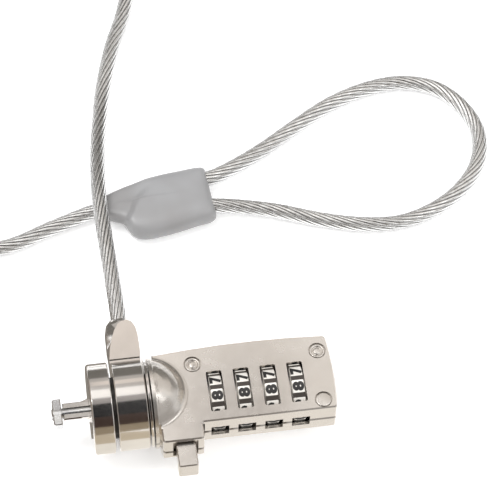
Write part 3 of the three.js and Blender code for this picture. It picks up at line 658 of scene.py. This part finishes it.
def make_numbers(index):
    """The ten figures of a wheel, wrapped round its rim and lying sideways as on the real one."""
    low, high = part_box(f"number_wheel_{index}")
    centre = (low + high) / 2
    vertices, faces = [], []
    for digit in range(DIGITS):
        points, tris = glyph(str(digit))
        narrow = 0.5 if digit == 1 else 1.0
        base = len(vertices)
        middle = math.radians(EIGHT_ANGLE + DIGIT_STEP * (digit - 8))
        for u, v, w in points:
            turn = middle - u * DIGIT_WIDTH * narrow / WHEEL_R
            r = (WHEEL_R + (DIGIT_PROUD if w > 0 else -DIGIT_SUNK)) * MM
            place = Vector((-v * DIGIT_HEIGHT * MM, -r * math.sin(turn), r * math.cos(turn)))
            vertices.append(centre + place)
        faces += [tuple(base + i for i in f) for f in tris]
    numbers = new_object(f"wheel_numbers_{index}", vertices, faces, smooth=False)
    dress(numbers, FILL, f"wheel_{index}")


def make_gaps(index):
    """Painted shade in the gaps between a wheel's digits: a dark block in each groove."""
    low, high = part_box(f"number_wheel_{index}")
    centre = (low + high) / 2
    vertices, faces = [], []
    for digit in range(DIGITS):
        turn = math.radians(EIGHT_ANGLE + DIGIT_STEP * (digit - 0.5))
        out = Vector((0, -math.sin(turn), math.cos(turn)))
        across = Vector((0, math.cos(turn), math.sin(turn)))
        base = len(vertices)
        for x in (-GAP["half_long"], GAP["half_long"]):
            for side, r in ((-1, GAP["floor"]), (1, GAP["floor"]), (1, GAP["top"]), (-1, GAP["top"])):
                place = out * r + across * side * GAP["half_width"] + Vector((x, 0, 0))
                vertices.append(centre + place * MM)
        faces += [tuple(base + i for i in face) for face in BLOCK_FACES]
    gaps = new_object(f"wheel_gap_shade_{index}", vertices, faces, smooth=False)
    dress(gaps, GAP_SHADE, f"wheel_{index}")


BLOCK_FACES = [(0, 1, 2, 3), (7, 6, 5, 4), (0, 4, 5, 1), (1, 5, 6, 2), (2, 6, 7, 3), (3, 7, 4, 0)]
FILL = black_fill("black_fill", (0.012, 0.011, 0.011))
# Painted shade for the gaps between the wheels' digits.
GAP_SHADE = black_fill("painted_gap_shade", (0.035, 0.026, 0.02))
make_cable([make_ferrule(), make_strap()])
for rivet_index in range(1, 4):
    make_rivet(rivet_index)
for wheel_index in range(1, 5):
    make_numbers(wheel_index)
    make_gaps(wheel_index)

# ---- carried-over CAD nodes ---------------------------------------------------------------------------
EDGE_WIDTH = 0.09  # rounding of the metal pieces' edges, mm
SAME_PLACE = 0.01  # points nearer than this are one, mm
FINE_PIECES = ("spring", "cable_stop")  # too small to have their edges rounded


def finish_cad_node(name, node, slot):
    """Looks for a piece kept as it is: merged points, rounded edges, smooth shading."""
    node.data.materials.clear()
    node.data.materials.append(MATERIALS[slot])
    weld = node.modifiers.new("weld", "WELD")
    weld.merge_threshold = SAME_PLACE * MM
    if not any(word in name for word in FINE_PIECES):
        flat = node.modifiers.new("flat", "DECIMATE")
        flat.decimate_type = "DISSOLVE"
        flat.angle_limit = math.radians(0.6)
        edge = node.modifiers.new("edge", "BEVEL")
        edge.width = EDGE_WIDTH * MM
        edge.segments = 2
        edge.limit_method = "ANGLE"
        edge.angle_limit = math.radians(32)
        edge.use_clamp_overlap = True
        edge.harden_normals = False
    shade = node.modifiers.new("shade", "WEIGHTED_NORMAL")
    shade.keep_sharp = False
    shade.weight = 90
    node.data.polygons.foreach_set("use_smooth", [True] * len(node.data.polygons))


for part in frame["record"]["subparts"]:
    finish_cad_node(part["node"], frame["nodes"][part["node"]], part["material_slot"])

# ---- floor and light ----------------------------------------------------------------------------------


def stage_plane(name, size, location, rotation, material, hidden=False):
    """A stage rectangle; a hidden one shows only in what mirrors it."""
    half_x, half_y = size[0] / 2, size[1] / 2
    corners = [(-half_x, -half_y, 0), (half_x, -half_y, 0), (half_x, half_y, 0), (-half_x, half_y, 0)]
    plane = new_object(name, corners, [(0, 1, 2, 3)])
    plane.location = location
    plane.rotation_euler = rotation
    plane.data.materials.append(material)
    if hidden:
        plane.visible_camera = False
        plane.visible_diffuse = False
        plane.visible_shadow = False
        plane.visible_transmission = False
    return plane


def glow(name, color, strength):
    """A material that only shines."""
    material = bpy.data.materials.new(name)
    material.use_nodes = True
    tree = material.node_tree
    tree.nodes.clear()
    emission = tree.nodes.new("ShaderNodeEmission")
    emission.inputs["Color"].default_value = (*color, 1)
    emission.inputs["Strength"].default_value = strength
    output = tree.nodes.new("ShaderNodeOutputMaterial")
    tree.links.new(emission.outputs[0], output.inputs["Surface"])
    return material


def make_floor():
    floor = Shader("floor", (0.92, 0.92, 0.92), 0.5)
    floor.bsdf.inputs["Emission Color"].default_value = (1, 1, 1, 1)
    floor.bsdf.inputs["Emission Strength"].default_value = 0.3
    stage_plane("floor", (6, 6), (0, 0, 0), (0, 0, 0), floor.material)


# Bands round the lock's axis that the bright metal mirrors: angle from straight up towards the front,
# colour, and the range of x they cover. The dark ones are as short as the rings need.
WIDE, SHORT = (-0.8, 0.8), (-0.07, 0.032)
BANDS = [
    (-100, -56, (0.19, 0.18, 0.165), WIDE),
    (-56, -22, (0.50, 0.475, 0.45), WIDE),
    (-22, 0, (1.0, 0.97, 0.94), WIDE),
    (0, 14, (0.36, 0.34, 0.33), SHORT),
    (14, 46, (0.012, 0.012, 0.013), SHORT),
    (46, 72, (0.055, 0.035, 0.028), SHORT),
    (72, 97, (0.33, 0.27, 0.19), SHORT),
]
BAND_R = 0.30

# More cards round the same axis, for the flat face, the dome and the cable's tab:
# name, angles, distance from the axis and x range in metres, colour, strength.
LOCAL_CARDS = [
    ("face_card", (-60, -8), 0.285, (0.019, 0.5), (0.93, 0.88, 0.83), 0.8),
    ("dome_shade", (16, 96), 0.31, (-0.8, 0.8), (0.36, 0.345, 0.33), 1.0),
    ("tab_card", (-43, -31.5), 0.105, (-0.024, 0.003), (0.80, 0.73, 0.67), 1.0),
    ("face_shade", (-29, 4), 0.09, (0.004, 0.030), (0.27, 0.245, 0.225), 1.0),
]
# Patches of the table that only the metal mirrors: x and y from the lock, mm, and colour.
TABLE_CARDS = [
    ((-120, 18.5), (-30, -11), (0.92, 0.88, 0.80)),
    ((-120, 18.5), (-420, -30), (0.60, 0.52, 0.40)),
    ((18.5, 160), (-130, -11), (0.98, 0.94, 0.88)),
    ((-45, 8.5), (-2, 40), (0.27, 0.245, 0.215)),
]
CARD_HEIGHT = 0.4  # above the table, mm
# Upright card to the left of the tab: size in metres, place in the lock's millimetres.
SIDE_CARD = {"size": (0.10, 0.09), "place": (-45, 14, 41), "color": (0.31, 0.265, 0.225)}


def band_plane(name, angles, radius, x_range, color, strength):
    """A hidden glowing card that touches a circle round the lock's axis."""
    middle = math.radians(sum(angles) / 2)
    width = 2 * radius * math.tan(math.radians(angles[1] - angles[0]) / 2)
    x = sum(x_range) / 2
    place = Vector((x, AXIS_Y - radius * math.sin(middle), AXIS_Z + radius * math.cos(middle)))
    size = (x_range[1] - x_range[0], width)
    stage_plane(name, size, place, (middle, 0, 0), glow(name, color, strength), True)


def make_bands():
    for i, (low, high, color, x_range) in enumerate(BANDS):
        band_plane(f"band_{i}", (low, high), BAND_R, x_range, color, 1.0)
    for name, angles, radius, x_range, color, strength in LOCAL_CARDS:
        band_plane(name, angles, radius, x_range, color, strength)
    for i, ((x0, x1), (y0, y1), color) in enumerate(TABLE_CARDS):
        place = on_table((x0 + x1) / 2, (y0 + y1) / 2, CARD_HEIGHT)
        stage_plane(f"table_card_{i}", ((x1 - x0) * MM, (y1 - y0) * MM), place, (0, 0, 0),
                    glow(f"table_card_{i}", color, 1.0), True)
    side = SIDE_CARD
    stage_plane("side_card", side["size"], at(*side["place"]), (0, math.radians(90), 0),
                glow("side_card", side["color"], 1.0), True)


# Square lamps aimed at the origin: name, place and size in metres, watts.
LAMPS = [("key", (-0.35, 0.25, 0.9), 0.6, 7.0), ("fill", (0.5, -0.5, 0.8), 0.8, 4.0)]


def make_lights():
    world = bpy.data.worlds.new("studio")
    world.use_nodes = True
    world.node_tree.nodes["Background"].inputs["Color"].default_value = (1, 1, 1, 1)
    world.node_tree.nodes["Background"].inputs["Strength"].default_value = 0.75
    bpy.context.scene.world = world
    for name, place, size, power in LAMPS:
        data = bpy.data.lights.new(name, "AREA")
        data.size = size
        data.energy = power
        light = bpy.data.objects.new(name, data)
        light.location = place
        light.rotation_euler = (-Vector(place)).to_track_quat("-Z", "Y").to_euler()
        bpy.context.scene.collection.objects.link(light)


make_floor()
make_bands()
make_lights()
bpy.context.scene.view_settings.view_transform = "Standard"
